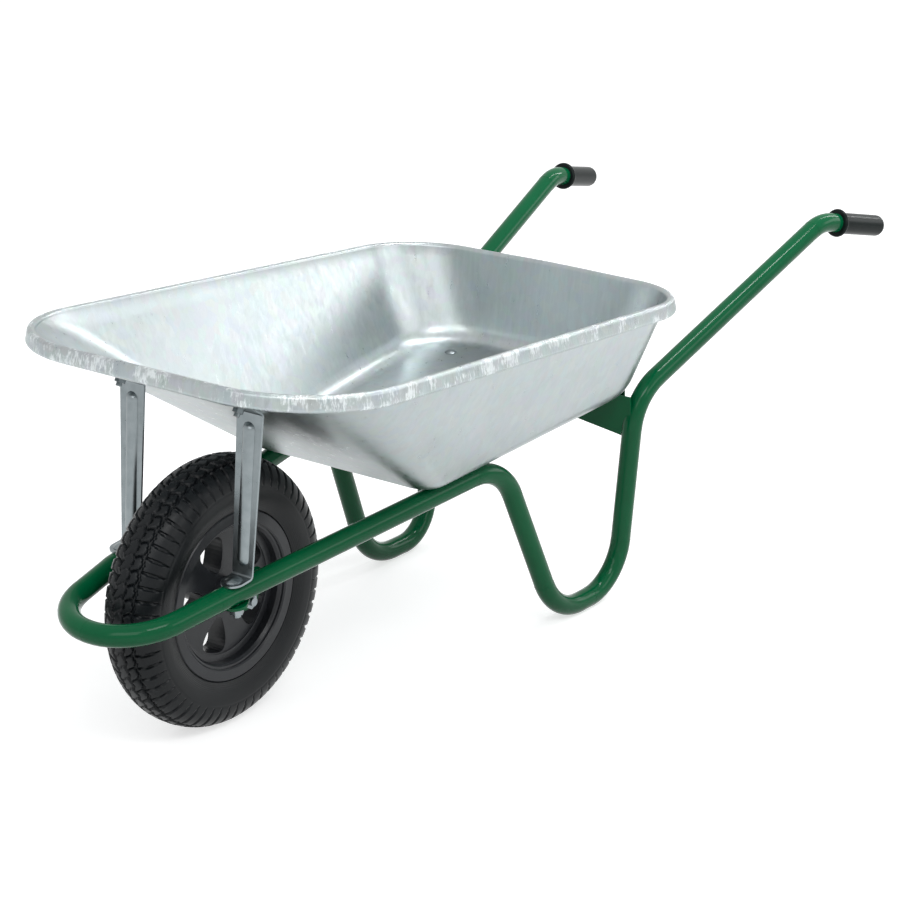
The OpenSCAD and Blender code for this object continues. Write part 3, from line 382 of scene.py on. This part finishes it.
scraped_at = add(tree, "ShaderNodeMapping", {0: place}, in_Scale=(1, 1, SCRAPE_STRETCH))
scrape = add(tree, "ShaderNodeTexNoise", {"Vector": scraped_at.outputs[0]},
             in_Scale=1000 / SCRAPE_MM, in_Detail=4.0, in_Roughness=0.7)
drips = add(tree, "ShaderNodeTexNoise", {"Vector": place}, in_Scale=1000 / DRIP_MM, in_Detail=3.0)
wear = add(tree, "ShaderNodeMath", {0: scrape.outputs["Fac"], 1: drips.outputs["Fac"]},
           operation="MULTIPLY")
on_bead = add(tree, "ShaderNodeMath", {0: wear.outputs[0], 1: out_band.outputs[0]},
              operation="MULTIPLY")
scars = add(tree, "ShaderNodeBump", {"Height": on_bead.outputs[0],
                                     "Normal": draw_lines.outputs[0]},
            in_Strength=1.0, in_Distance=SCRAPE_DEPTH)
tree.links.new(scars.outputs[0], shader.inputs["Normal"])
fresh = add(tree, "ShaderNodeMapRange", {0: on_bead.outputs[0]}, in_1=BARE_WEAR[0],
            in_2=BARE_WEAR[1], in_4=BARE_SHARE)
bright = add(tree, "ShaderNodeMix", {0: fresh.outputs[0], 6: worn_sheet.outputs[2]},
             data_type="RGBA", in_7=linear(SCRAPED_BRIGHT))
tree.links.new(bright.outputs[2], shader.inputs["Base Color"])
pan_skin.data.materials.append(galvanised)

# Struts and fasteners. Pressed steel strip, coach bolts, washers and nuts and the axle's sleeve,
# all barrel-plated with bright zinc: silvery and a little blue, with small dull patches and a
# fine pitting, drawn coarser than life so that it shows.
ZINC_DULL, ZINC_BRIGHT = "#6a7375", "#969da0"
PATCH_MM, PIT_MM, PIT_DEPTH = 18, 1.5, 0.0002
ZINC_GLOSS = (0.2, 0.4)
zinc, tree, shader, place = material("bright_zinc_plate", Metallic=1.0)
patch = add(tree, "ShaderNodeTexNoise", {"Vector": place}, in_Scale=1000 / PATCH_MM,
            in_Detail=4.0)
silver = add(tree, "ShaderNodeMix", {0: patch.outputs["Fac"]}, data_type="RGBA",
             in_6=linear(ZINC_DULL), in_7=linear(ZINC_BRIGHT))
tree.links.new(silver.outputs[2], shader.inputs["Base Color"])
worn = add(tree, "ShaderNodeMapRange", {0: patch.outputs["Fac"]}, in_3=ZINC_GLOSS[0],
           in_4=ZINC_GLOSS[1])
tree.links.new(worn.outputs[0], shader.inputs["Roughness"])
pit = add(tree, "ShaderNodeTexNoise", {"Vector": place}, in_Scale=1000 / PIT_MM, in_Detail=2.0)
pits = add(tree, "ShaderNodeBump", {"Height": pit.outputs["Fac"]}, in_Strength=0.12,
           in_Distance=PIT_DEPTH)
tree.links.new(pits.outputs[0], shader.inputs["Normal"])
dress(zinc, "strut_left", "strut_right", "axle_bolt", "axle_washers", "axle_nut", "axle_sleeve",
      *[f"{joint}_{kind}" for joint in ("rail", "strut_top", "floor")
        for kind in ("bolts", "washers", "nuts")])

# Grips. Soft black vinyl, dip moulded and pushed onto the tube ends: satin, a little dusty, with
# fine pores all over, drawn coarser than life so that they show.
VINYL_BLACK, VINYL_DUSTY = "#0d1313", "#171f1e"
DUST_MM, PORE_MM, PORE_DEPTH = 30, 1.6, 0.0002
vinyl, tree, shader, place = material("soft_black_vinyl", Roughness=0.28,
                                      Specular_IOR_Level=0.1)
dusty = add(tree, "ShaderNodeTexNoise", {"Vector": place}, in_Scale=1000 / DUST_MM, in_Detail=3.0)
black = add(tree, "ShaderNodeMix", {0: dusty.outputs["Fac"]}, data_type="RGBA",
            in_6=linear(VINYL_BLACK), in_7=linear(VINYL_DUSTY))
tree.links.new(black.outputs[2], shader.inputs["Base Color"])
pore = add(tree, "ShaderNodeTexNoise", {"Vector": place}, in_Scale=1000 / PORE_MM, in_Detail=2.0)
pores = add(tree, "ShaderNodeBump", {"Height": pore.outputs["Fac"]}, in_Strength=0.2,
            in_Distance=PORE_DEPTH)
tree.links.new(pores.outputs[0], shader.inputs["Normal"])
dress(vinyl, "grip_left", "grip_right")

# Wheel. Black polypropylene, injection moulded in one piece with its spokes, as the hub's
# spacers and the valve's cap are: a low sheen and soft shifts from black to grey, with the
# mould's spark-eroded grain drawn coarser than life so that it shows.
POLY_BLACK, POLY_GREY = "#1e2023", "#2b2d31"
SOOT_MM, SPARK_MM, SPARK_DEPTH = 45, 1.2, 0.0002
poly, tree, shader, place = material("black_moulded_polypropylene", Roughness=0.3,
                                     Specular_IOR_Level=0.3)
faint = add(tree, "ShaderNodeTexNoise", {"Vector": place}, in_Scale=1000 / SOOT_MM, in_Detail=3.0)
soot = add(tree, "ShaderNodeMix", {0: faint.outputs["Fac"]}, data_type="RGBA",
           in_6=linear(POLY_BLACK), in_7=linear(POLY_GREY))
tree.links.new(soot.outputs[2], shader.inputs["Base Color"])
spark = add(tree, "ShaderNodeTexNoise", {"Vector": place}, in_Scale=1000 / SPARK_MM, in_Detail=2.0)
eroded = add(tree, "ShaderNodeBump", {"Height": spark.outputs["Fac"]}, in_Strength=0.15,
             in_Distance=SPARK_DEPTH)
tree.links.new(eroded.outputs[0], shader.inputs["Normal"])
dress(poly, "wheel", "hub_spacers", "valve_cap")

# Hub bushes. Undyed nylon, moulded and pressed into the hub's ends, where they turn on the
# sleeve: milky grey and waxy.
NYLON_DEEP, NYLON_MILK, MILK_MM = "#8e8f8a", "#a3a49d", 12
nylon, tree, shader, place = material("natural_nylon", Roughness=0.5)
milk = add(tree, "ShaderNodeTexNoise", {"Vector": place}, in_Scale=1000 / MILK_MM)
cream = add(tree, "ShaderNodeMix", {0: milk.outputs["Fac"]}, data_type="RGBA",
            in_6=linear(NYLON_DEEP), in_7=linear(NYLON_MILK))
tree.links.new(cream.outputs[2], shader.inputs["Base Color"])
dress(nylon, "hub_bushes")

# Tyre. Black carbon-filled rubber cured in a mould: a zig-zag centre between two rows of small
# blocks, long cross grooves down the shoulders, and smooth dull walls with fine rings near the
# wheel's flange.
TYRE_R = 0.1892
AXLE = Vector((0.0, -0.5244, TYRE_R))
HALF_W, CROWN_H, CROWN_POWER = 0.044, 0.045, 2.35
WIDEST = TYRE_R - CROWN_H
RIM_SEAT, SEAT_GAP, FLANGE, BEAD_X, BEAD_TOE = 0.1017, 0.0001, 0.1193, 0.0331, 0.0229
INNER_CROWN = 0.1790
PITCHES, COLUMNS, ROW_STEP, TREAD_R = 60, 12, 0.0016, 0.187
# Distances along the tyre's section are measured from the middle of the tread
RIB_GROOVE = dict(at=0.0085, swing=0.0022, depth=0.0034, width=0.0032)
BLOCK_GROOVE = dict(at=0.0235, swing=0.0016, depth=0.0040, width=0.0042)
WALL_GROOVE = dict(at=0.0635, swing=0.0, depth=0.0006, width=0.0016)
SIPE_DEPTH, SIPE_WIDTH, SIPE_SLANT = 0.002, 0.0016, 40
GAP_DEPTH, GAP_WIDTH, GAP_SLANT, GAP_MIDDLE = 0.0034, 0.003, 28, 0.016
CROSS_DEPTH, CROSS_FADE, CROSS_WIDTH, CROSS_BULGE = 0.0036, 0.55, 0.0022, 0.0022
CROSS_RUN, CROSS_SWAY, CROSS_CURVE = 0.0375, 0.03, 9.0
BULGE_RATE, BULGE_END = 1.15, 0.87


def smooth(x):
    x = min(1.0, max(0.0, x))
    return x * x * (3 - 2 * x)


def cut(distance, width, soft=0.0007):
    """1 inside a groove of this width, 0 outside, from the distance to its middle."""
    return 1 - smooth((abs(distance) - width / 2 + soft) / (2 * soft))


def zigzag(u):
    return abs((u % 1) * 4 - 2) - 1


def groove_depth(groove, a, u):
    """Depth of a groove that runs round the tyre, at distance a and pitch position u."""
    off = a - groove["at"] - groove["swing"] * zigzag(u)
    return groove["depth"] * cut(off, groove["width"])


def tread_depth(s, u):
    """Depth of the tread at distance s from its middle and pitch position u."""
    a, pitch = abs(s), 2 * math.pi * TREAD_R / PITCHES
    skew = u + (0.5 if s < 0 else 0)
    depth = max(groove_depth(g, a, skew) for g in (RIB_GROOVE, BLOCK_GROOVE, WALL_GROOVE))
    t = (a - BLOCK_GROOVE["at"]) / CROSS_RUN
    across = 0.0
    if a < RIB_GROOVE["at"]:
        across = SIPE_DEPTH * cut(((u + SIPE_SLANT * s) % 1 - 0.5) * pitch, SIPE_WIDTH)
    elif a < BLOCK_GROOVE["at"]:
        slanted = skew + GAP_SLANT * (a - GAP_MIDDLE)
        across = GAP_DEPTH * cut((slanted % 1 - 0.5) * pitch, GAP_WIDTH)
    elif t < 1:
        bulge = CROSS_BULGE * math.sin(math.pi * min(1.0, t * BULGE_RATE)) * (t < BULGE_END)
        sway = CROSS_SWAY * math.sin(t * CROSS_CURVE) * (1 - t)
        across = CROSS_DEPTH * (1 - CROSS_FADE * t) * cut(((skew + sway) % 1 - 0.5) * pitch,
                                                          CROSS_WIDTH + bulge)
    return max(depth, across)


def crown_point(a):
    """A point of the tyre's round crown: its radius and its distance from the middle."""
    c, s = math.cos(a), math.sin(a)
    return (WIDEST + CROWN_H * abs(c) ** (2 / CROWN_POWER),
            HALF_W * math.copysign(abs(s) ** (2 / CROWN_POWER), s))


def even(points, step):
    """Points along a polyline at an even step, each with its arc length."""
    out, at, walked = [], 0.0, 0.0
    for p, q in zip(points, points[1:]):
        length = math.dist(p, q)
        while at <= walked + length:
            t = (at - walked) / length
            out.append((p[0] + (q[0] - p[0]) * t, p[1] + (q[1] - p[1]) * t, at))
            at += step
        walked += length
    return out, walked


crown_line = [crown_point(-math.pi / 2 + math.pi * i / 4000) for i in range(4001)]
crown_rows, crown_length = even(crown_line, ROW_STEP)
outer_wall = [(RIM_SEAT + SEAT_GAP, BEAD_TOE), (RIM_SEAT + SEAT_GAP, BEAD_X),
              (FLANGE, BEAD_X + 0.0002), (0.1199, 0.0371), (0.1266, 0.0408), (0.1352, 0.0432),
              (0.1400, 0.0438)]
inner_wall = [(0.1260, 0.0355), (0.1442, 0.0390), (0.1660, 0.0360), (0.1780, 0.0200)]
profile = [(r, -x, None) for r, x in outer_wall]
profile += [(r, x, at - crown_length / 2) for r, x, at in crown_rows[1:-1]]
profile += [(r, x, None) for r, x in outer_wall[::-1]]
profile += [(r, x, None) for r, x in inner_wall] + [(INNER_CROWN, 0.0, None)]
profile += [(r, -x, None) for r, x in inner_wall[::-1]]
rows = []
turns = PITCHES * COLUMNS
for k, (r, x, s) in enumerate(profile):
    before, after = profile[k - 1], profile[(k + 1) % len(profile)]
    tangent = Vector((after[0] - before[0], after[1] - before[1])).normalized()
    row = []
    for j in range(turns):
        d = tread_depth(s, j / COLUMNS) if s is not None else 0.0
        rr, xx = r - d * tangent.y, x + d * tangent.x
        a = 2 * math.pi * j / turns
        row.append((xx, AXLE.y + rr * math.cos(a), AXLE.z + rr * math.sin(a)))
    rows.append(row)
tyre_skin = skin_of_rows("tyre_tread", rows + rows[:1])
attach(tyre_skin, "wheel_assembly")
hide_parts("tyre")

RUBBER_BLACK, RUBBER_GREY = "#0a0c0e", "#13171a"
BLOOM_MM, RING_MM, RING_DEPTH, RING_FADE = 60, 2.4, 0.0002, (0.131, 0.135)
RUBBER_GLOSS = (0.3, 0.42)
rubber, tree, shader, place = material("cured_tyre_rubber", Specular_IOR_Level=0.2)
bloom = add(tree, "ShaderNodeTexNoise", {"Vector": place}, in_Scale=1000 / BLOOM_MM,
            in_Detail=5.0)
carbon = add(tree, "ShaderNodeMix", {0: bloom.outputs["Fac"]}, data_type="RGBA",
             in_6=linear(RUBBER_BLACK), in_7=linear(RUBBER_GREY))
tree.links.new(carbon.outputs[2], shader.inputs["Base Color"])
chalk = add(tree, "ShaderNodeMapRange", {0: bloom.outputs["Fac"]}, in_3=RUBBER_GLOSS[0],
            in_4=RUBBER_GLOSS[1])
tree.links.new(chalk.outputs[0], shader.inputs["Roughness"])
moved = add(tree, "ShaderNodeVectorMath", {0: place}, operation="SUBTRACT", in_1=AXLE)
apart = add(tree, "ShaderNodeSeparateXYZ", {0: moved.outputs[0]})
flat = add(tree, "ShaderNodeCombineXYZ", {"Y": apart.outputs["Y"], "Z": apart.outputs["Z"]})
from_axle = add(tree, "ShaderNodeVectorMath", {0: flat.outputs[0]}, operation="LENGTH")
wave = add(tree, "ShaderNodeMath", {0: from_axle.outputs["Value"]}, operation="MULTIPLY",
           in_1=2 * math.pi * 1000 / RING_MM)
ripple = add(tree, "ShaderNodeMath", {0: wave.outputs[0]}, operation="SINE")
near_rim = add(tree, "ShaderNodeMapRange", {0: from_axle.outputs["Value"]}, in_1=RING_FADE[0],
               in_2=RING_FADE[1], in_3=1.0, in_4=0.0)
fine_rings = add(tree, "ShaderNodeMath", {0: ripple.outputs[0], 1: near_rim.outputs[0]},
                 operation="MULTIPLY")
wall_rings = add(tree, "ShaderNodeBump", {"Height": fine_rings.outputs[0]}, in_Strength=0.35,
                 in_Distance=RING_DEPTH)
tree.links.new(wall_rings.outputs[0], shader.inputs["Normal"])
tyre_skin.data.materials.append(rubber)

# Inner tube and valve. Butyl rubber, extruded, joined and cured with its valve: smooth and dull
# under a dusting of talc.
BUTYL_BLACK, BUTYL_TALC, TALC_MM = "#16181a", "#232628", 25
butyl, tree, shader, place = material("butyl_rubber", Roughness=0.55)
talc = add(tree, "ShaderNodeTexNoise", {"Vector": place}, in_Scale=1000 / TALC_MM)
sooty = add(tree, "ShaderNodeMix", {0: talc.outputs["Fac"]}, data_type="RGBA",
            in_6=linear(BUTYL_BLACK), in_7=linear(BUTYL_TALC))
tree.links.new(sooty.outputs[2], shader.inputs["Base Color"])
dress(butyl, "inner_tube", "valve_stem")
